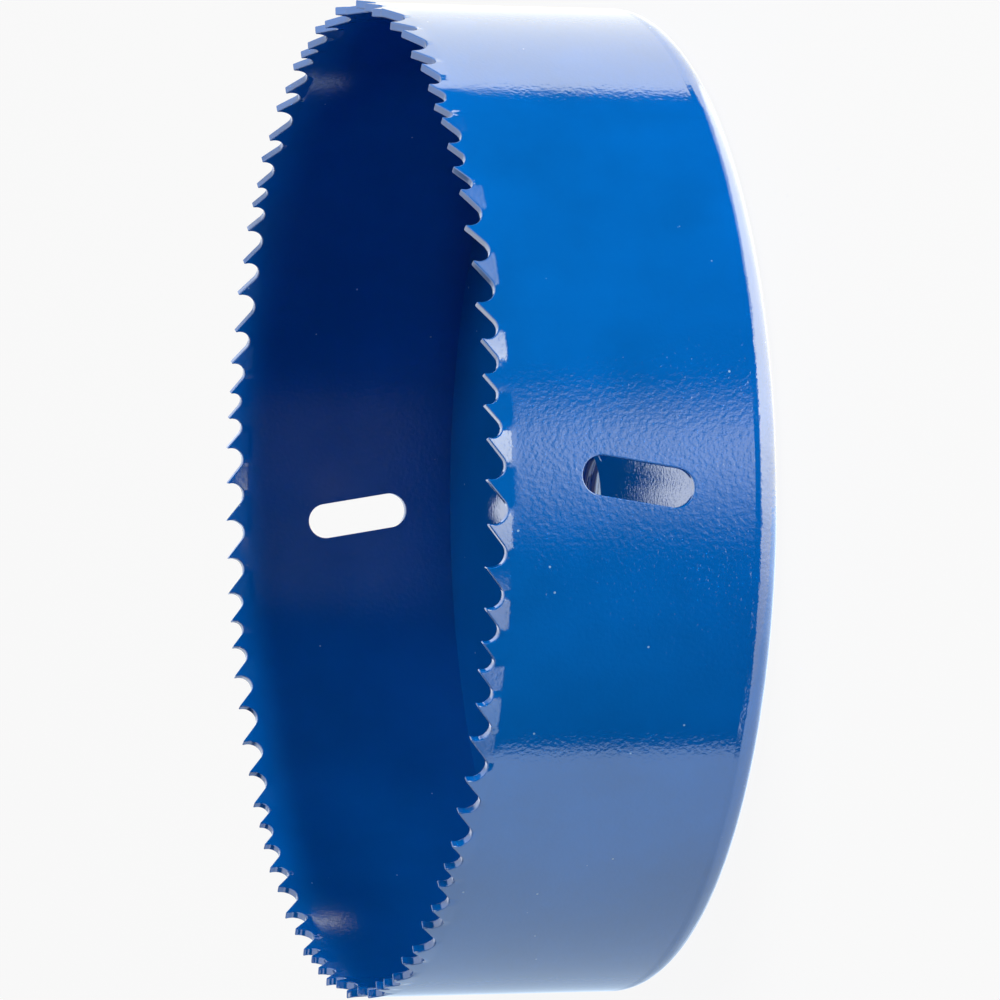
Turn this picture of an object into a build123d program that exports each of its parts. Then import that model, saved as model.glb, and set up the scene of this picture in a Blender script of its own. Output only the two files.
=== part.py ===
"""Large cup-type hole saw: toothed band, back plate and the weld ring that joins them.

Z is the saw's axis. Z = 0 is the outer face of the back plate and the teeth point to +Z.
All sizes are in millimetres and all angles in degrees.
"""
import os
from math import cos, degrees, pi, radians, sin

from build123d import *

# ---------------------------------------------------------------- driving dimensions
outer_d = 152.0          # cutting diameter over the band, before the teeth are set
wall = 1.27              # thickness of the toothed band
height = 44.0            # back face to tooth tips
plate_t = 5.7            # back plate thickness
corner_r = 3.5           # rounded outer corner of the dressed weld
corner_flats = 3         # the flats that make it round, few to keep the mesh light
weld_face = 0.6          # flat of the weld ring left on the back face

arbor_r = 7.25           # arbor hole, tapping size of a 5/8 in - 18 thread
arbor_chamfer_back = 1.75
arbor_chamfer_in = 0.6
pin_count = 4            # drive pin holes round the arbor hole
pin_r = 3.2
pin_land = 0.8           # metal between the arbor hole's lead-in and a drive pin hole

slot_length = 16.8       # slugging slots through the band
slot_width = 5.7
slot_z = 21.7            # height of a slot's centre
slot_lean = 9.3          # away from the saw's axis
slot_angles = (-88.0, 92.0)

pitch_group = (4.4, 5.05, 5.85, 6.2, 6.4, 5.8, 4.95)   # variable pitch, one group of teeth
set_group = (-1, 0, 1, -1, 1, -1, 1)                # in, straight or out, per tooth of a group
least_pitch = 4.0        # of the last tooth, which takes up what is left of the ring
first_tip = -40.1        # place of the first tooth round the ring, where the band's ends meet
tooth_set = 0.4          # how far a tip leans out of the wall
gullet_depth = 0.475     # of the pitch
rake = 10.0              # of the tooth's cutting face
back_slope = 39.0        # of the tooth's back
bend_above_gullet = 0.1  # a tooth starts to lean this far above the floor of its shallower gullet
over_tip = 0.5           # stock above the tips, for the gullet cutters to take off

# ---------------------------------------------------------------- derived sizes
outer_r = outer_d / 2
inner_r = outer_r - wall
round_corner_r = outer_r - corner_r
pin_circle_r = arbor_r + arbor_chamfer_back + pin_land + pin_r

# The groups follow one another round the ring, and the last tooth closes it.
pitches = []
while sum(pitches) + pitch_group[len(pitches) % len(pitch_group)] + least_pitch < pi * outer_d:
    pitches.append(pitch_group[len(pitches) % len(pitch_group)])
pitches.append(pi * outer_d - sum(pitches))
teeth = len(pitches)
sets = [set_group[n % len(set_group)] for n in range(teeth)]
tips = [first_tip + degrees(sum(pitches[:n]) / outer_r) for n in range(teeth)]
plain_z = height - gullet_depth * max(pitches) - over_tip

# A gullet's floor is an arc that touches its lowest level, the rake face and the next tooth's back.
# All of it is in proportion to the pitch, so it is solved once, for a pitch of 1.
sin_rake, cos_rake = sin(radians(rake)), cos(radians(rake))
sin_back, cos_back = sin(radians(back_slope)), cos(radians(back_slope))
room = sin_back - gullet_depth * cos_back + gullet_depth * sin_back * sin_rake / cos_rake
gullet_r = room / ((1 + sin_rake) / cos_rake * sin_back + 1 - cos_back)
gullet_x = (gullet_r * (1 + sin_rake) - gullet_depth * sin_rake) / cos_rake
gullet_z = gullet_r - gullet_depth
joint = first_tip - degrees((1 - gullet_x) * pitches[-1] / outer_r)   # the gullet where the ends meet


def radial_plane(angle):
    """Plane tangent to the band at this angle: x runs round the ring, y along the saw's axis."""
    x, y = cos(radians(angle)), sin(radians(angle))
    return Plane(origin=(outer_r * x, outer_r * y, height), x_dir=(-y, x, 0), z_dir=(x, y, 0))


def around_arc(centre, radius, start, end, flats):
    """Points on an arc, at both its ends and between its flats."""
    steps = [radians(start + (end - start) * n / flats) for n in range(flats + 1)]
    return [(centre[0] + radius * cos(a), centre[1] + radius * sin(a)) for a in steps]


os.makedirs("parts", exist_ok=True)

# ---------------------------------------------------------------- toothed band
with BuildPart() as saw_band:
    # plain ring, up to just under the gullets
    with BuildSketch(Plane.XY.offset(corner_r).rotated((0, 0, joint))):
        Circle(outer_r)
        Circle(inner_r, mode=Mode.SUBTRACT)
    extrude(amount=plain_z - corner_r)

    # one sector per tooth, from gullet floor to gullet floor, that leans in or out
    for n in range(teeth):
        before, after = pitches[n - 1], pitches[n]
        start = tips[n] - degrees((1 - gullet_x) * before / outer_r)
        end = tips[n] + degrees(gullet_x * after / outer_r)
        bend_z = height - gullet_depth * min(before, after) + bend_above_gullet
        top_z = height + over_tip
        lean = tooth_set * sets[n] * (top_z - bend_z) / (height - bend_z)
        with BuildSketch(Plane.XZ.rotated((0, 0, start))):
            with BuildLine():
                Polyline(
                    (inner_r, plain_z),
                    (outer_r, plain_z),
                    (outer_r, bend_z),
                    (outer_r + lean, top_z),
                    (inner_r + lean, top_z),
                    (inner_r, bend_z),
                    close=True,
                )
            make_face()
        revolve(axis=Axis.Z, revolution_arc=end - start, clean=False)

    # gullets: one cutter per tooth, between its tip at x = -p / 2 and the next at x = p / 2
    for n in range(teeth):
        p = pitches[n]
        rake_end = (p * (gullet_x - gullet_r * cos_rake - 0.5), p * (gullet_z + gullet_r * sin_rake))
        floor = (p * (gullet_x - 0.5), -p * gullet_depth)
        back_end = (p * (gullet_x + gullet_r * sin_back - 0.5), p * (gullet_z - gullet_r * cos_back))
        left = -p / 2 + over_tip * sin_rake / cos_rake
        right = p / 2 + over_tip * cos_back / sin_back
        with BuildSketch(radial_plane(tips[n] + degrees(p / 2 / outer_r))):
            with BuildLine():
                ThreePointArc(rake_end, floor, back_end)
                Polyline(
                    back_end,
                    (right, over_tip),
                    (right, 2 * over_tip),
                    (left, 2 * over_tip),
                    (left, over_tip),
                    rake_end,
                )
            make_face()
    extrude(amount=wall + 3 * tooth_set, both=True, mode=Mode.SUBTRACT, clean=False)

    # slugging slots, cut square through the wall
    for angle in slot_angles:
        with BuildSketch(radial_plane(angle)):
            with Locations((0, slot_z - height)):
                SlotOverall(slot_length, slot_width, rotation=90 - slot_lean)
    extrude(amount=wall + slot_width, both=True, mode=Mode.SUBTRACT)

# ---------------------------------------------------------------- back plate
with BuildPart() as back_plate:
    # disc that fits inside the band, bevelled at the back for the weld
    with BuildSketch(Plane.XZ):
        with BuildLine():
            Polyline(
                (0, 0),
                (round_corner_r - weld_face, 0),
                (inner_r, corner_r),
                (inner_r, plate_t),
                (0, plate_t),
                close=True,
            )
        make_face()
    revolve(axis=Axis.Z)

    # arbor hole and the drive pin holes round it
    with BuildSketch(Plane.XY):
        Circle(arbor_r)
        with PolarLocations(pin_circle_r, pin_count, start_angle=180 / pin_count):
            Circle(pin_r)
    extrude(amount=plate_t, mode=Mode.SUBTRACT)

    # lead-ins of the arbor thread
    circles = back_plate.edges().filter_by(GeomType.CIRCLE)
    arbor_mouths = circles.filter_by(lambda e: abs(e.radius - arbor_r) < 0.01).sort_by(Axis.Z)
    chamfer(arbor_mouths[0], length=arbor_chamfer_back)
    chamfer(arbor_mouths[-1], length=arbor_chamfer_in)

# ---------------------------------------------------------------- weld ring
with BuildPart() as rim_weld:
    # fills the corner between the band's end and the plate's bevel, dressed round
    with BuildSketch(Plane.XZ):
        with BuildLine():
            Polyline(
                (round_corner_r - weld_face, 0),
                *around_arc((round_corner_r, corner_r), corner_r, -90, 0, corner_flats),
                (inner_r, corner_r),
                close=True,
            )
        make_face()
    revolve(axis=Axis.Z)

# ---------------------------------------------------------------- out
saw_band.part.label = "saw_band"
back_plate.part.label = "back_plate"
rim_weld.part.label = "rim_weld"
export_step(saw_band.part, "parts/saw_band.step")
export_step(back_plate.part, "parts/back_plate.step")
export_step(rim_weld.part, "parts/rim_weld.step")
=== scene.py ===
"""Looks of the hole saw: one glossy blue enamel over the toothed band, the plate and the weld.

The three CAD nodes are rebuilt at the same sizes as fine meshes with true rounded edges, because
a gloss finish shows every facet. Sizes are in millimetres until a mesh is made, then in metres.
"""

from functools import partial
from math import atan, cos, pi, radians, sin, tan

import bpy
import numpy as np
from mathutils import Matrix, Vector
from mathutils.geometry import delaunay_2d_cdt


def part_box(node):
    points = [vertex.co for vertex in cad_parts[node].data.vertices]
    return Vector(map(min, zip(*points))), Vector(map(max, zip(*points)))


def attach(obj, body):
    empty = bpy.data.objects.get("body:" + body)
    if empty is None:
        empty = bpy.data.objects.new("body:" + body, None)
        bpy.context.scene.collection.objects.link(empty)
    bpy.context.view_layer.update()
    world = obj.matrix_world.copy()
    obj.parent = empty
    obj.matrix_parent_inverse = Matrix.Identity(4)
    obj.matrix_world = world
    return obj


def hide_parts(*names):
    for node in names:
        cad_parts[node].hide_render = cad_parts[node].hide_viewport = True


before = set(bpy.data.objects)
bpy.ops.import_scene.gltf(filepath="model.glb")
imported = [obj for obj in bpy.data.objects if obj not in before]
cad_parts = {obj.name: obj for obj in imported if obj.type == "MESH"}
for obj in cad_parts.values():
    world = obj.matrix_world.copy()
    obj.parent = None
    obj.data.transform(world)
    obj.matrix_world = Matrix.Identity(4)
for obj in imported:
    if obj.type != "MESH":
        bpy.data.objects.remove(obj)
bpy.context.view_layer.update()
MM = 0.001

# ---------------------------------------------------------------- sizes, as in the CAD source
OUTER_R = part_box("rim_weld")[1].x / MM
WALL = 1.27
HEIGHT = 44.0
PLATE_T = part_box("back_plate")[1].z / MM
CORNER_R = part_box("rim_weld")[1].z / MM
WELD_FACE = 0.6
INNER_R = OUTER_R - WALL
ROUND_CORNER_R = OUTER_R - CORNER_R
BACK_FACE_R = ROUND_CORNER_R - WELD_FACE

PITCH_GROUP = (4.4, 5.05, 5.85, 6.2, 6.4, 5.8, 4.95)
SET_GROUP = (-1, 0, 1, -1, 1, -1, 1)
LEAST_PITCH = 4.0
FIRST_TIP = -40.1
TOOTH_SET = 0.4
GULLET_DEPTH = 0.475     # of the pitch
RAKE = radians(10.0)
BACK_SLOPE = radians(39.0)

SLOT_LENGTH = 16.8
SLOT_WIDTH = 5.7
SLOT_Z = 21.7
SLOT_LEAN = radians(9.3)
SLOT_ANGLES = (92.0, 272.0)

ARBOR_R = 7.25
ARBOR_CHAMFER_BACK = 1.75
PIN_COUNT = 4
PIN_R = 3.2
PIN_CIRCLE_R = 13.0

# ---------------------------------------------------------------- detail that only the scene has
BEND_DEPTH = 3.8         # a tooth leans from this far below its tip
BEND_SOFT = 0.06         # share of that depth over which the bend is rounded
BEND_BLEND = 0.7         # a lean fades into its neighbour's within this of a gullet's floor

THREAD_R = 7.94          # of the arbor thread's root, 5/8 in - 18
THREAD_PITCH = 25.4 / 18
THREAD_ROOT = THREAD_PITCH / 10    # half the flat at the root
THREAD_FLANK = pi / 3    # angle of the thread's sides with the hole's axis
ARBOR_CHAMFER_IN = 0.75  # a little wider than in the CAD, so that the thread runs out in it

# finish of edges under paint
TIP_ROUND = 0.15
EDGE_ROUND = 0.2
HOLE_ROUND = 0.25

# fineness of the meshes: steps along a curve or line, and spacings in millimetres
RING_STEPS = 720
CORNER_STEPS = 16
EDGE_STEPS = 4
TIP_STEPS = 8
BACK_STEPS = 7
BACK_FLOOR_STEPS = 6
RAKE_STEPS = 3
RAKE_FLOOR_STEPS = 14
SLOT_END_STEPS = 24
SLOT_SIDE_STEPS = 11
THREAD_STEPS = 144
THREAD_ROWS = 120
PIN_STEPS = 64
ROW_SPACING = 2.4        # of the plain wall's points, which are 1 mm apart round the ring
FINE_GRID = 0.55         # of the wall's points among the teeth
FINE_BELOW = 0.6         # those points start this far below the bends
EDGE_CLEAR = 0.22        # least distance of a point from the edge of the wall's flat face

# ---------------------------------------------------------------- paint
PAINT_DARK = (0.0, 0.114, 0.43, 1)
PAINT_LIGHT = (0.0, 0.14, 0.53, 1)
CLOUD_SCALE = 60.0
CLOUD_RANGE = (0.3, 0.7) # of the noise, from the dark paint to the light
DUST = (0.3, 0.5, 0.75, 1)
DUST_SCALE = 250.0
DUST_EDGE = (0.05, 0.03) # distance from a speck's middle, from its outside to its inside
DUST_FREE = 0.6          # share of the places that have no speck
PAINT_IOR = 2.2          # higher than an enamel's own, for the photograph's strong reflections
GLOSS = 0.05             # roughness

# relief and mist, in metres; a pair of places is where one value ends and where the next begins
PEEL_SCALE = 1600.0
PEEL_DEPTHS = (45e-6, 20e-6)       # of the orange peel in its deepest patch and elsewhere
PEEL_PLACES = (0.012, 0.035)       # off the patch's middle
PEEL_Y = -0.085          # of the patch's middle, just off the near wall
TOOTH_PEEL = 0.3         # share of the peel that is left on the teeth
TOOTH_PLACES = (0.037, 0.042)
WELD_SCALE = 150.0
WELD_DEPTH = 160e-6      # of the dressed weld's unevenness
WELD_PLACES = (0.0034, 0.0042)
MIST = 0.07              # roughness added on the wall's inner face
MIST_OUTER = (0.0754, 0.0750)      # radii over which it sets in, within the wall
MIST_INNER = (0.0744, 0.0746)      # and over which it sets in from the plate's side

# ---------------------------------------------------------------- studio
WHITE = (1, 1, 1, 1)
FLOOR_HALF = 3.0         # metres
FLOOR_GREY = (0.9, 0.9, 0.9, 1)
FLOOR_WHITE = 0.92       # share of plain white in what the camera sees of the floor

# brightness of the panels
RIGHT_PANEL = 2.1
LEFT_PANEL = 1.05
PANELS_UP = 0.03         # share of the side panels that is left in their upper part
BELOW_RIGHT = 3.9
BELOW_LEFT = 1.2
NOTCH = 0.7              # share taken off a part of the panel below
ABOVE_PANEL = 0.03
GLOW = 1.3
ROOM = 0.005
BACK_PANEL = 1.9
FRONT_PANEL = 1.3
OVERHEAD = 1.4

# tints of the panels
RIGHT_TINT = (1.0, 0.96, 0.76, 1)
LEFT_TINT = (0.66, 0.82, 1.0, 1)
FAR_TINT = (0.82, 0.88, 1.0, 1)

# edges of the panels, each pair from nothing to full. Azimuths are in degrees, 0 on the camera's
# side and 90 on the right, which is the image's top because the camera lies on its side. The rest
# are the x, y or z of a direction of length 1.
RIGHT_AZIMUTHS = (107.5, 109.5)
LEFT_AZIMUTHS = (-57.0, -60.0)
SIDES_X = (-0.45, 0.45)            # from the left one's brightness to the right one's
SIDES_Z = (0.0, 0.2)               # from their lower part to their upper part
BELOW_X = (-0.45, 0.35)
BELOW_Z = (-0.4, -0.47)
NOTCH_AZIMUTHS = (30.0, 50.0)
NOTCH_Z = (-0.62, -0.52)
ABOVE_Z = (0.3, 0.9)
GLOW_AZIMUTHS = ((28.0, 12.0), (-12.0, 13.0))
GLOW_Z = (-0.17, -0.36)
BACK_Y = (0.5, 0.75)
BACK_Z = ((0.7, 0.5), (-0.1, 0.0))
FRONT_AZIMUTHS = ((-15.0, -25.0), (-110.0, -95.0))
FRONT_Z = ((0.2, 0.12), (-0.14, -0.06))
OVERHEAD_Z = (0.55, 0.65)
WARM_AZIMUTHS = (40.0, 60.0)
WARM_Z = (-0.4, -0.45)
COLD_AZIMUTHS = (-30.0, -57.0)

# the photograph's camera
VIEW_ELEVATION = radians(16.609)
VIEW_DISTANCE = 921.9
SENSOR = 36.0
FOCAL_PX = 5973.9
IMAGE_PX = 1000
AIM_Z = 22.0
AIM_OFF_PX = 15.62


# ---------------------------------------------------------------- mesh helpers
def in_scene(obj):
    bpy.context.scene.collection.objects.link(obj)
    return obj


def arc(centre, radius, start, end, steps):
    """Points on an arc, ends included; angles in radians."""
    a = np.linspace(start, end, steps + 1)
    return np.stack([centre[0] + radius * np.cos(a), centre[1] + radius * np.sin(a)], 1)


def circle(centre, radius, steps):
    """Points on a circle, the first one not repeated."""
    return arc(centre, radius, 0, 2 * pi, steps)[:-1]


def between(start, end, steps):
    """Points on a straight line, without its ends."""
    return np.linspace(start, end, steps + 1)[1:-1]


def unit(vectors):
    return vectors / np.linalg.norm(vectors, axis=-1)[..., None]


def outward_normals(loop, closed):
    """Unit normals on the left of a run of points, averaged at each point."""
    step = np.diff(np.vstack([loop, loop[:1]]) if closed else loop, axis=0)
    side = unit(np.stack([-step[:, 1], step[:, 0]], 1))
    if closed:
        return unit(side + np.roll(side, 1, axis=0))
    return unit(np.vstack([side[:1], side[1:] + side[:-1], side[-1:]]))


def grid_faces(rows, count, closed):
    """Four-sided faces between neighbouring rows that have count points each."""
    faces = []
    for row in range(rows - 1):
        here, there = row * count, (row + 1) * count
        for n in range(count if closed else count - 1):
            m = (n + 1) % count
            faces.append((here + n, here + m, there + m, there + n))
    return faces


def triangulated(loops, inner_points):
    """Points, triangles and the triangles' middles for a flat area with these outlines."""
    edges, first = [], 0
    for loop in loops:
        edges += [(first + n, first + (n + 1) % len(loop)) for n in range(len(loop))]
        first += len(loop)
    points = [Vector(p) for p in np.vstack([*loops, inner_points])]
    inside_only, merge_distance = 1, 1e-7
    verts, _, faces, *_ = delaunay_2d_cdt(points, edges, [], inside_only, merge_distance)
    verts = np.array([tuple(v) for v in verts])
    return verts, faces, np.array([verts[list(f)].mean(0) for f in faces])


class Shape:
    """Vertices, faces and normals gathered from several surfaces that meet at sharp edges."""

    def __init__(self):
        self.vertices, self.normals, self.faces, self.count = [], [], [], 0

    def add(self, vertices, normals, faces):
        self.vertices.append(vertices)
        self.normals.append(normals)
        self.faces += [tuple(self.count + i for i in f) for f in faces]
        self.count += len(vertices)

    def turned(self, profile, steps, centre=(0, 0)):
        """A run of (radius, height, normal outward, normal up) turned round a vertical axis."""
        a = np.linspace(0, 2 * pi, steps, endpoint=False)
        rings, normals = [], []
        for r, z, out, up in profile:
            rings.append(np.column_stack([centre[0] + r * np.cos(a), centre[1] + r * np.sin(a), 0 * a + z]))
            normals.append(np.column_stack([out * np.cos(a), out * np.sin(a), 0 * a + up]))
        self.add(np.vstack(rings), np.vstack(normals), grid_faces(len(profile), steps, True))

    def flat(self, z, up, outer_r, inner_r, holes):
        """A flat round face with a round hole in its middle and others, as (centre, radius)."""
        loops = [circle((0, 0), outer_r, RING_STEPS), circle((0, 0), inner_r, THREAD_STEPS)]
        loops += [circle(centre, r, PIN_STEPS) for centre, r in holes]
        verts, faces, middles = triangulated(loops, np.empty((0, 2)))
        air = [((0, 0), inner_r)] + holes
        solid = ~np.any([np.linalg.norm(middles - centre, axis=1) < r for centre, r in air], axis=0)
        faces = [f if up > 0 else f[::-1] for f, kept in zip(faces, solid) if kept]
        normals = np.tile((0.0, 0.0, float(up)), (len(verts), 1))
        self.add(np.column_stack([verts, np.full(len(verts), z)]), normals, faces)

    def made(self, name):
        """Smooth-shaded mesh object in metres, with these normals."""
        mesh = bpy.data.meshes.new(name)
        mesh.from_pydata([tuple(v) for v in np.vstack(self.vertices) * MM], [], self.faces)
        mesh.shade_smooth()
        mesh.normals_split_custom_set_from_vertices([tuple(n) for n in np.vstack(self.normals)])
        mesh.update()
        return in_scene(bpy.data.objects.new(name, mesh))


# ---------------------------------------------------------------- the band, laid out flat
def tooth_layout():
    """Pitches, sets and tip places (mm round the ring, from angle 0) of all teeth."""
    girth, pitches = 2 * pi * OUTER_R, []
    while sum(pitches) + PITCH_GROUP[len(pitches) % len(PITCH_GROUP)] + LEAST_PITCH < girth:
        pitches.append(PITCH_GROUP[len(pitches) % len(PITCH_GROUP)])
    pitches.append(girth - sum(pitches))
    sets = [SET_GROUP[n % len(SET_GROUP)] for n in range(len(pitches))]
    tips = radians(FIRST_TIP) * OUTER_R + np.concatenate([[0], np.cumsum(pitches)[:-1]])
    return np.array(pitches), np.array(sets) * TOOTH_SET, tips


def gullet_shape():
    """Radius and centre of the gullet's floor arc for a pitch of 1, with the tip at the origin."""
    room = sin(BACK_SLOPE) - GULLET_DEPTH * cos(BACK_SLOPE) + GULLET_DEPTH * sin(BACK_SLOPE) * tan(RAKE)
    r = room / ((1 + sin(RAKE)) / cos(RAKE) * sin(BACK_SLOPE) + 1 - cos(BACK_SLOPE))
    return r, (r * (1 + sin(RAKE)) - GULLET_DEPTH * sin(RAKE)) / cos(RAKE), r - GULLET_DEPTH


GULLET_R, GULLET_X, GULLET_Z = gullet_shape()
PITCHES, SETS, TIPS = tooth_layout()
FLOORS = TIPS + GULLET_X * PITCHES


def tip_points():
    """The blunt point of a tooth with its sharp tip at the origin, from its back to its rake face."""
    half_angle = (pi / 2 - RAKE - BACK_SLOPE) / 2
    mid = pi + BACK_SLOPE + half_angle
    reach = TIP_ROUND / sin(half_angle)
    centre = (reach * cos(mid), reach * sin(mid))
    return arc(centre, TIP_ROUND, pi / 2 + BACK_SLOPE, -RAKE, TIP_STEPS)


def toothed_edge():
    """The rim from one gullet floor right round to the same floor again, at (place, height).

    It stands higher than the sharp one by what the tips' rounding takes off.
    """
    tip = tip_points()
    top = HEIGHT - tip[:, 1].max()
    runs = []
    for n in range(len(PITCHES)):
        before, after = PITCHES[n - 1], PITCHES[n]
        centre_before = ((GULLET_X - 1) * before, GULLET_Z * before)
        centre_after = (GULLET_X * after, GULLET_Z * after)
        floor_before = arc(centre_before, GULLET_R * before, -pi / 2, BACK_SLOPE - pi / 2, BACK_FLOOR_STEPS)
        floor_after = arc(centre_after, GULLET_R * after, pi - RAKE, 3 * pi / 2, RAKE_FLOOR_STEPS)
        back = between(floor_before[-1], tip[0], BACK_STEPS)
        rake = between(tip[-1], floor_after[0], RAKE_STEPS)
        tooth = np.vstack([floor_before, back, tip, rake, floor_after[:-1]])
        runs.append(tooth + (TIPS[n], top))
    edge = np.vstack(runs)
    return np.vstack([edge, edge[:1] + (2 * pi * OUTER_R, 0)])


def slot_edge(angle):
    """A slot's outline, with the air on its left."""
    half, r = (SLOT_LENGTH - SLOT_WIDTH) / 2, SLOT_WIDTH / 2
    top = arc((0, half), r, 0, pi, SLOT_END_STEPS)
    bottom = arc((0, -half), r, pi, 2 * pi, SLOT_END_STEPS)
    down = between(top[-1], bottom[0], SLOT_SIDE_STEPS)
    loop = np.vstack([top, down, bottom, down[::-1] * (-1, 1)])
    turn = np.array([[cos(SLOT_LEAN), -sin(SLOT_LEAN)], [sin(SLOT_LEAN), cos(SLOT_LEAN)]])
    return loop @ turn + (radians(angle) * OUTER_R, SLOT_Z)


def lean_of(s, z):
    """How far the band stands out of its cylinder at these places: the set of the teeth."""
    first = FLOORS[-1] - 2 * pi * OUTER_R
    place = (s - first) % (2 * pi * OUTER_R) + first
    floors = np.concatenate([[first], FLOORS])
    tooth = np.clip(np.searchsorted(floors, place, side="right") - 1, 0, len(PITCHES) - 1)
    up = 1 - (HEIGHT - z) / BEND_DEPTH
    bend = (up + BEND_SOFT) ** 2 / (4 * BEND_SOFT)
    ramp = np.where(up < -BEND_SOFT, 0, np.where(up > BEND_SOFT, up, bend))
    to_left, to_right = place - floors[tooth], floors[tooth + 1] - place
    near = np.clip(np.minimum(to_left, to_right) / BEND_BLEND, 0, 1)
    own = 0.5 + 0.5 * near * near * (3 - 2 * near)
    other = np.where(to_left < to_right, tooth - 1, (tooth + 1) % len(PITCHES))
    return ramp * (SETS[tooth] * own + SETS[other] * (1 - own))


def rolled(flat, depth, normals, through):
    """Positions and normals of flat-strip points once the strip is rolled into its ring.

    depth is how far below the outer face the points lie. The normals are given as their parts
    along the strip's face and, as one number, through it.
    """
    s, z = flat.T
    nudge = 0.02
    lean = lean_of(s, z)
    lean_s = (lean_of(s + nudge, z) - lean_of(s - nudge, z)) / (2 * nudge)
    lean_z = (lean_of(s, z + nudge) - lean_of(s, z - nudge)) / (2 * nudge)
    a = s / OUTER_R
    r = OUTER_R + lean - depth
    e_r = np.stack([np.cos(a), np.sin(a), 0 * a], 1)
    e_s = np.stack([-np.sin(a), np.cos(a), 0 * a], 1)
    e_z = np.array([[0.0, 0.0, 1.0]])
    t_s = e_s + lean_s[:, None] * e_r
    t_z = e_z + lean_z[:, None] * e_r
    face = e_r - lean_s[:, None] * e_s - lean_z[:, None] * e_z
    points = np.column_stack([r * np.cos(a), r * np.sin(a), z])
    return points, unit(normals[:, :1] * t_s + normals[:, 1:] * t_z + through * face)


def in_slot(points, slot, margin=0.0):
    """Which points lie in a slot or its rounded edge, or nearer to them than the margin."""
    axis = np.array([sin(SLOT_LEAN), cos(SLOT_LEAN)])
    half = (SLOT_LENGTH - SLOT_WIDTH) / 2
    rel = points - slot.mean(0)
    along = np.clip(rel @ axis, -half, half)
    return np.linalg.norm(rel - along[:, None] * axis, axis=1) < SLOT_WIDTH / 2 + EDGE_ROUND + margin


def inside_wall(points, rim, slots):
    """Which points lie in the wall's flat face, clear of its edges.

    The high ones are taken in runs, and each run is tested against the rim around it: a point is
    inside if an odd number of the rim's lines pass above it.
    """
    keep = points[:, 1] < HEIGHT
    high = np.where(points[:, 1] > rim[:, 1].min() - 1)[0]
    run_count, reach = 40, 8
    for run in np.array_split(high, run_count):
        s, z = points[run].T[..., None]
        chain = rim[(rim[:, 0] > s.min() - reach) & (rim[:, 0] < s.max() + reach)]
        away = np.linalg.norm(points[run][:, None] - chain[None], axis=2).min(1)
        (s_0, z_0), (s_1, z_1) = chain[:-1].T, chain[1:].T
        crosses = (s_0 > s) != (s_1 > s)
        share = (s - s_0) / np.where(s_1 == s_0, 1, s_1 - s_0)
        above = z_0 + share * (z_1 - z_0) > z
        keep[run] &= ((crosses & above).sum(1) % 2 == 1) & (away > EDGE_CLEAR)
    for slot in slots:
        keep &= ~in_slot(points, slot, EDGE_CLEAR)
    return keep


def flat_wall(rim, slots, bottom_z):
    """Triangles of the wall's flat face inside its outlines, fine enough to roll smoothly."""
    left, right = rim[0][0], rim[-1][0]
    fine_z = HEIGHT - BEND_DEPTH - FINE_BELOW
    rows = np.linspace(bottom_z, fine_z, int((fine_z - bottom_z) / ROW_SPACING) + 1)
    columns = np.linspace(left, right, int(right - left) + 1)
    fine_columns = np.arange(left + FINE_GRID, right - FINE_GRID / 2, FINE_GRID)
    fine_rows = np.arange(fine_z + FINE_GRID, HEIGHT, FINE_GRID)
    left_side = [(left, z) for z in rows]
    right_side = [(right, z) for z in rows[::-1]]
    base = [(s, bottom_z) for s in columns[-2:0:-1]]
    outline = np.array([*rim, *right_side, *base, *left_side])
    grid = [(s, z) for z in rows[1:] for s in columns[1:-1]]
    grid += [(s, z) for z in fine_rows for s in fine_columns]
    grid = np.array(grid)
    grid = grid[inside_wall(grid, rim, slots)]
    verts, faces, middles = triangulated([outline, *slots], grid)
    solid = ~np.any([in_slot(middles, slot) for slot in slots], axis=0)
    return verts, [f for f, kept in zip(faces, solid) if kept]


def edge_strip(loop, closed):
    """Rows of points round a cut edge, from the outer face over two round edges to the inner face.

    A row is its flat points, their depth, and their normals along the face and through it.
    """
    normal = outward_normals(loop, closed)
    turn = np.linspace(0, pi / 2, EDGE_STEPS + 1)
    steps = zip(turn, EDGE_ROUND * (1 - np.sin(turn)), EDGE_ROUND * (1 - np.cos(turn)))
    outer = [(loop - normal * back_in, depth, normal * sin(t), cos(t)) for t, back_in, depth in steps]
    inner = [(flat, WALL - depth, along, -through) for flat, depth, along, through in outer]
    return outer + inner[::-1]


def build_band():
    """The toothed strip rolled into a ring, from the weld up."""
    rim = toothed_edge()
    slots = [slot_edge(angle) for angle in SLOT_ANGLES]
    band, face_outlines = Shape(), []
    for loop, closed in [(rim, False)] + [(slot, True) for slot in slots]:
        rows = edge_strip(loop, closed)
        points, normals = zip(*[rolled(*row) for row in rows])
        band.add(np.vstack(points), np.vstack(normals), grid_faces(len(rows), len(loop), closed))
        face_outlines.append(rows[0][0])
    verts, faces = flat_wall(face_outlines[0], face_outlines[1:], CORNER_R)
    along = np.zeros((len(verts), 2))
    band.add(*rolled(verts, 0.0, along, 1.0), faces)
    band.add(*rolled(verts, WALL, along, -1.0), [f[::-1] for f in faces])
    return band


# ---------------------------------------------------------------- turned pieces
def bevel_normal():
    """Normal of the plate's bevel under the weld, as its parts outward and up."""
    return unit(np.array([CORNER_R, BACK_FACE_R - INNER_R]))


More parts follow.
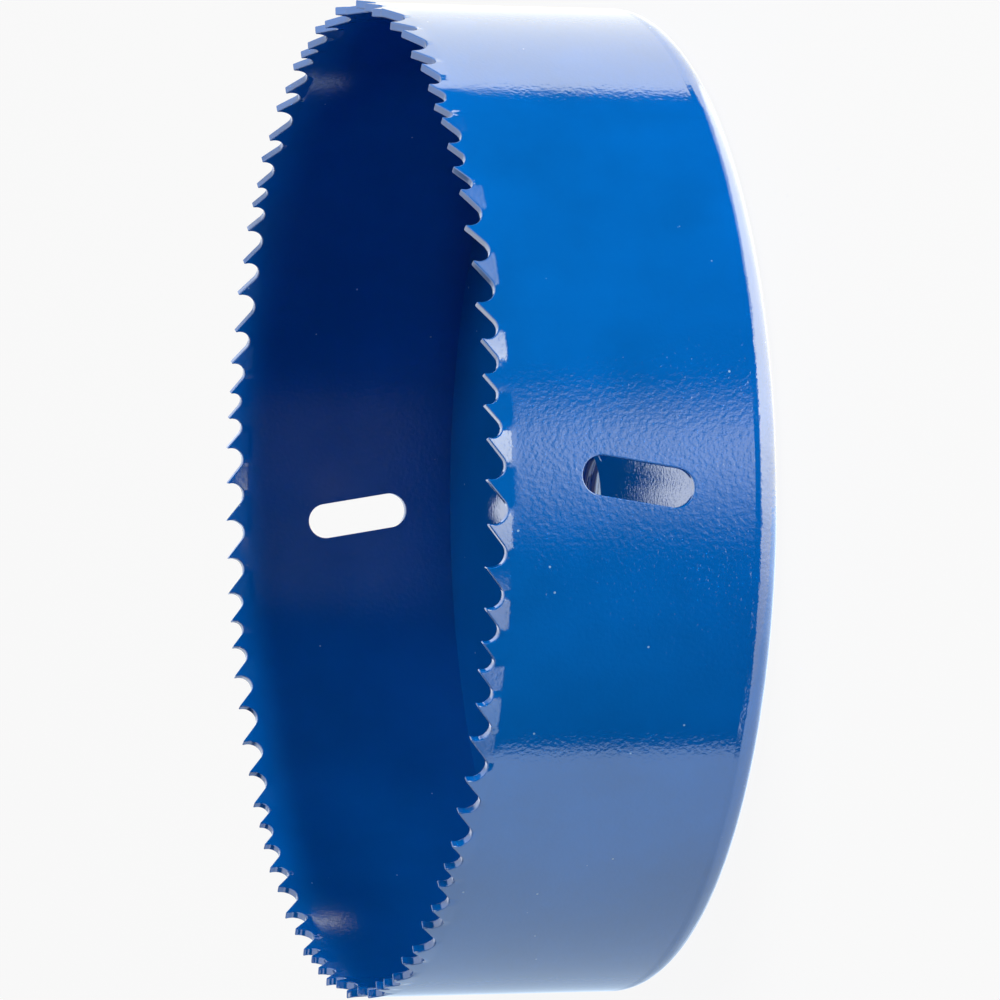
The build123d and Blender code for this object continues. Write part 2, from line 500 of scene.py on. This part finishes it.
def build_weld():
    """The weld ring, dressed to a rounded outer corner."""
    weld = Shape()
    face = [(BACK_FACE_R, 0.0, 0.0, -1.0)]
    for t in np.linspace(-pi / 2, 0, CORNER_STEPS + 1):
        face.append((ROUND_CORNER_R + CORNER_R * cos(t), CORNER_R + CORNER_R * sin(t), cos(t), sin(t)))
    bevel = -bevel_normal()
    weld.turned(face, RING_STEPS)
    weld.turned([(OUTER_R, CORNER_R, 0.0, 1.0), (INNER_R, CORNER_R, 0.0, 1.0)], RING_STEPS)
    weld.turned([(INNER_R, CORNER_R, *bevel), (BACK_FACE_R, 0.0, *bevel)], RING_STEPS)
    return weld


def add_thread(shape):
    """The arbor hole: a right-hand thread that runs out into the lead-ins at both faces."""
    turn = np.linspace(0, 2 * pi, THREAD_STEPS + 1)
    angle, z = np.meshgrid(turn, np.linspace(0, PLATE_T, THREAD_ROWS + 1), indexing="ij")
    from_root = np.abs(((z - THREAD_PITCH * angle / (2 * pi)) / THREAD_PITCH) % 1 - 0.5) * THREAD_PITCH
    thread = THREAD_R - np.clip((from_root - THREAD_ROOT) * tan(THREAD_FLANK), 0, THREAD_R - ARBOR_R)
    lead_in = np.maximum(ARBOR_R + ARBOR_CHAMFER_BACK - z, ARBOR_R + ARBOR_CHAMFER_IN - PLATE_T + z)
    r = np.maximum(thread, lead_in)
    points = np.stack([r * np.cos(angle), r * np.sin(angle), z], -1)
    normals = unit(np.cross(np.gradient(points, axis=1), np.gradient(points, axis=0)))
    faces = grid_faces(THREAD_STEPS + 1, THREAD_ROWS + 1, False)
    shape.add(points.reshape(-1, 3), normals.reshape(-1, 3), faces)


def hole_mouth(z, up):
    """Profile of a pin hole's rounded mouth, from the face at z, whose normal is up, into the hole."""
    round_r, round_z = PIN_R + HOLE_ROUND, z - up * HOLE_ROUND
    return [(round_r - HOLE_ROUND * sin(t), round_z + up * HOLE_ROUND * cos(t), -sin(t), up * cos(t))
            for t in np.linspace(0, pi / 2, EDGE_STEPS + 1)]


def build_plate():
    """The back plate, with its threaded arbor hole and the drive pin holes."""
    plate = Shape()
    pin_angles = pi / PIN_COUNT + np.arange(PIN_COUNT) * 2 * pi / PIN_COUNT
    pins = [(PIN_CIRCLE_R * cos(a), PIN_CIRCLE_R * sin(a)) for a in pin_angles]
    mouths = [(pin, PIN_R + HOLE_ROUND) for pin in pins]
    bevel = bevel_normal()
    plate.flat(PLATE_T, 1, INNER_R, ARBOR_R + ARBOR_CHAMFER_IN, mouths)
    plate.flat(0.0, -1, BACK_FACE_R, ARBOR_R + ARBOR_CHAMFER_BACK, mouths)
    plate.turned([(INNER_R, CORNER_R, 1.0, 0.0), (INNER_R, PLATE_T, 1.0, 0.0)], RING_STEPS)
    plate.turned([(BACK_FACE_R, 0.0, *bevel), (INNER_R, CORNER_R, *bevel)], RING_STEPS)
    for pin in pins:
        plate.turned(hole_mouth(PLATE_T, 1) + hole_mouth(0.0, -1)[::-1], PIN_STEPS, centre=pin)
    add_thread(plate)
    return plate


# ---------------------------------------------------------------- shader nodes
def node(tree, kind, inputs=(), **settings):
    """A shader node with its settings and with its inputs linked or set, by name or place."""
    made = tree.nodes.new(kind)
    for key, value in settings.items():
        setattr(made, key, value)
    for key, value in dict(inputs).items():
        if isinstance(value, bpy.types.NodeSocket):
            tree.links.new(value, made.inputs[key])
        else:
            made.inputs[key].default_value = value
    return made


def maths_node(tree, operation, a, b=0.0):
    return node(tree, "ShaderNodeMath", {0: a, 1: b}, operation=operation).outputs[0]


def ramp_node(tree, value, low, high, to_low=0.0, to_high=1.0, kind="LINEAR"):
    """A value that goes from to_low to to_high while the given one goes from low to high."""
    inputs = {"Value": value, "From Min": low, "From Max": high, "To Min": to_low, "To Max": to_high}
    return node(tree, "ShaderNodeMapRange", inputs, interpolation_type=kind).outputs[0]


def mixed(tree, share, one, other):
    """A colour between two others."""
    return node(tree, "ShaderNodeMix", {0: share, 6: one, 7: other}, data_type="RGBA").outputs[2]


# ---------------------------------------------------------------- finish
def blue_enamel():
    """Deep blue gloss enamel with orange peel and a few specks of dust in it."""
    material = bpy.data.materials.new("blue_enamel")
    material.use_nodes = True
    tree = material.node_tree
    maths, ramp = partial(maths_node, tree), partial(ramp_node, tree)
    shader = tree.nodes["Principled BSDF"]
    place = node(tree, "ShaderNodeTexCoord").outputs["Object"]
    x, y, z = node(tree, "ShaderNodeSeparateXYZ", {0: place}).outputs

    def noise(scale, detail):
        inputs = {"Vector": place, "Scale": scale, "Detail": detail}
        return node(tree, "ShaderNodeTexNoise", inputs).outputs["Fac"]

    # colour: faint clouds, and specks of dust in the paint
    clouds = node(tree, "ShaderNodeValToRGB", {"Fac": noise(CLOUD_SCALE, detail=3.0)})
    for stop, position, colour in zip(clouds.color_ramp.elements, CLOUD_RANGE, (PAINT_DARK, PAINT_LIGHT)):
        stop.position = position
        stop.color = colour
    cells = node(tree, "ShaderNodeTexVoronoi", {"Vector": place, "Scale": DUST_SCALE}).outputs
    chance = node(tree, "ShaderNodeSeparateXYZ", {0: cells["Color"]}).outputs["X"]
    specks = maths("MULTIPLY", ramp(cells["Distance"], *DUST_EDGE), maths("GREATER_THAN", chance, DUST_FREE))
    tree.links.new(mixed(tree, specks, clouds.outputs["Color"], DUST), shader.inputs["Base Color"])

    # orange peel, deepest on the wall's near side below the teeth
    off_middle = maths("MAXIMUM", maths("ABSOLUTE", x), maths("SUBTRACT", y, PEEL_Y))
    depth = ramp(off_middle, *PEEL_PLACES, *PEEL_DEPTHS)
    depth = maths("MULTIPLY", depth, ramp(z, *TOOTH_PLACES, 1.0, TOOTH_PEEL))
    peel = maths("MULTIPLY", noise(PEEL_SCALE, detail=2.0), depth)

    # the unevenness of the dressed weld
    uneven = maths("MULTIPLY", noise(WELD_SCALE, detail=1.0), ramp(z, *WELD_PLACES, WELD_DEPTH, 0.0))
    height = maths("ADD", peel, uneven)
    bump = node(tree, "ShaderNodeBump", {"Height": height, "Strength": 1.0, "Distance": 1.0})
    tree.links.new(bump.outputs["Normal"], shader.inputs["Normal"])

    # the wall is duller inside, where the spray lands as mist
    radius = maths("SQRT", maths("ADD", maths("POWER", x, 2.0), maths("POWER", y, 2.0)))
    inside = maths("MULTIPLY", ramp(radius, *MIST_OUTER), ramp(radius, *MIST_INNER))
    tree.links.new(maths("ADD", maths("MULTIPLY", inside, MIST), GLOSS), shader.inputs["Roughness"])
    shader.inputs["IOR"].default_value = PAINT_IOR
    return material


# ---------------------------------------------------------------- put together
paint = blue_enamel()
band = build_band().made("toothed_band")
weld = build_weld().made("weld_ring")
plate = build_plate().made("back_disc")
for piece, cad_node in ((band, "saw_band"), (weld, "rim_weld"), (plate, "back_plate")):
    piece.data.materials.append(paint)
    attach(piece, "root")
    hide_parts(cad_node)


# ---------------------------------------------------------------- floor, light and camera
def make_floor():
    """Plain white floor. To the camera it is nearly white in itself, and keeps the saw's soft shadow."""
    mesh = bpy.data.meshes.new("floor")
    corners = [(-1, -1, 0), (1, -1, 0), (1, 1, 0), (-1, 1, 0)]
    mesh.from_pydata([Vector(corner) * FLOOR_HALF for corner in corners], [], [(0, 1, 2, 3)])
    floor = in_scene(bpy.data.objects.new("floor", mesh))
    material = bpy.data.materials.new("floor")
    material.use_nodes = True
    tree = material.node_tree
    tree.nodes.remove(tree.nodes["Principled BSDF"])
    matte = node(tree, "ShaderNodeBsdfDiffuse", {"Color": FLOOR_GREY}).outputs[0]
    white = node(tree, "ShaderNodeEmission", {"Color": WHITE, "Strength": 1.0}).outputs[0]
    seen = node(tree, "ShaderNodeLightPath").outputs["Is Camera Ray"]
    share = maths_node(tree, "MULTIPLY", seen, FLOOR_WHITE)
    mix = node(tree, "ShaderNodeMixShader", {0: share, 1: matte, 2: white}).outputs[0]
    tree.links.new(mix, tree.nodes["Material Output"].inputs["Surface"])
    mesh.materials.append(material)
    floor.visible_glossy = False


def make_world():
    """A studio in a dark room, with panels at both sides, below and, faintly, above.

    A soft glow low in front shows as the pale patch on the near wall. The panels behind, in front
    at the left and overhead are there for glossy rays only: they show in the gloss of the teeth's
    cut faces and the plate, and light nothing. The camera sees plain white.
    """
    world = bpy.data.worlds.new("studio")
    bpy.context.scene.world = world
    world.use_nodes = True
    tree = world.node_tree
    maths, step = partial(maths_node, tree), partial(ramp_node, tree, kind="SMOOTHSTEP")
    direction = node(tree, "ShaderNodeTexCoord").outputs["Generated"]
    x, y, z = node(tree, "ShaderNodeSeparateXYZ", {0: direction}).outputs
    azimuth = maths("ARCTAN2", x, maths("MULTIPLY", y, -1.0))
    ray = node(tree, "ShaderNodeLightPath").outputs
    seen, glossy = ray["Is Camera Ray"], ray["Is Glossy Ray"]

    def around(edge, *values):
        return step(azimuth, *map(radians, edge), *values)

    def product(first, *others):
        for other in others:
            first = maths("MULTIPLY", first, other)
        return first

    def largest(first, *others):
        for other in others:
            first = maths("MAXIMUM", first, other)
        return first

    # panels that light the saw
    sides = product(largest(around(RIGHT_AZIMUTHS), around(LEFT_AZIMUTHS)),
                    step(x, *SIDES_X, LEFT_PANEL, RIGHT_PANEL), step(z, *SIDES_Z, 1.0, PANELS_UP))
    notch = product(around(NOTCH_AZIMUTHS), step(z, *NOTCH_Z, 0.0, NOTCH))
    below = product(step(x, *BELOW_X, BELOW_LEFT, BELOW_RIGHT), step(z, *BELOW_Z),
                    maths("SUBTRACT", 1.0, notch))
    above = step(z, *ABOVE_Z, 0.0, ABOVE_PANEL)
    glow = product(around(GLOW_AZIMUTHS[0]), around(GLOW_AZIMUTHS[1], 0.0, GLOW), step(z, *GLOW_Z))

    # panels for glossy rays only
    back = product(step(y, *BACK_Y), step(z, *BACK_Z[0]), step(z, *BACK_Z[1]), glossy)
    front = product(*map(around, FRONT_AZIMUTHS), step(z, *FRONT_Z[0]), step(z, *FRONT_Z[1]), glossy)
    overhead = product(step(z, *OVERHEAD_Z), glossy)

    bright = largest(sides, below, above, ROOM, glow, product(back, BACK_PANEL),
                     product(front, FRONT_PANEL), product(overhead, OVERHEAD))
    warm = largest(around(WARM_AZIMUTHS), step(z, *WARM_Z))
    cold = around(COLD_AZIMUTHS)
    far = largest(back, front, overhead)
    unseen = maths("SUBTRACT", 1.0, seen)
    tint = WHITE
    for share, colour in ((warm, RIGHT_TINT), (cold, LEFT_TINT), (far, FAR_TINT)):
        tint = mixed(tree, product(share, unseen), tint, colour)
    strength = node(tree, "ShaderNodeMix", {0: seen, 2: bright, 3: 1.0}, data_type="FLOAT").outputs[0]
    background = tree.nodes["Background"]
    tree.links.new(tint, background.inputs["Color"])
    tree.links.new(strength, background.inputs["Strength"])


def make_light(name, azimuth, elevation, distance, width, height, power):
    """A soft light that looks at the saw's foot; azimuth 0 is the camera's side."""
    data = bpy.data.lights.new(name, "AREA")
    data.shape = "RECTANGLE"
    data.size = width
    data.size_y = height
    data.energy = power
    light = in_scene(bpy.data.objects.new(name, data))
    light.visible_glossy = False
    a, e = radians(azimuth), radians(elevation)
    away = Vector((sin(a) * cos(e), -cos(a) * cos(e), sin(e)))
    light.location = away * distance
    light.rotation_mode = "QUATERNION"
    light.rotation_quaternion = away.to_track_quat("Z", "Y")


def make_camera():
    """The photograph's view: 17 degrees above the plate, a long lens, turned so the axis lies across."""
    data = bpy.data.cameras.new("camera")
    data.sensor_width = SENSOR
    data.lens = FOCAL_PX / IMAGE_PX * SENSOR
    camera = in_scene(bpy.data.objects.new("camera", data))
    back = Vector((0, -cos(VIEW_ELEVATION), sin(VIEW_ELEVATION)))
    up = Vector((1, 0, 0))
    camera.location = Vector((0, 0, AIM_Z * MM)) + back * (VIEW_DISTANCE * MM)
    facing = Matrix((up.cross(back), up, back)).transposed()
    turn = Matrix.Rotation(-atan(AIM_OFF_PX / FOCAL_PX), 3, "Y")
    camera.rotation_mode = "QUATERNION"
    camera.rotation_quaternion = (facing @ turn).to_quaternion()
    bpy.context.scene.camera = camera


make_floor()
make_world()
make_light("key", azimuth=38, elevation=2.2, distance=1.2, width=0.8, height=0.08, power=13)
make_light("fill", azimuth=-62, elevation=2.2, distance=1.4, width=0.9, height=0.1, power=4.5)
make_light("top", azimuth=80, elevation=54, distance=1.2, width=0.6, height=0.6, power=6.2)
make_camera()
bpy.context.scene.view_settings.view_transform = "Standard"
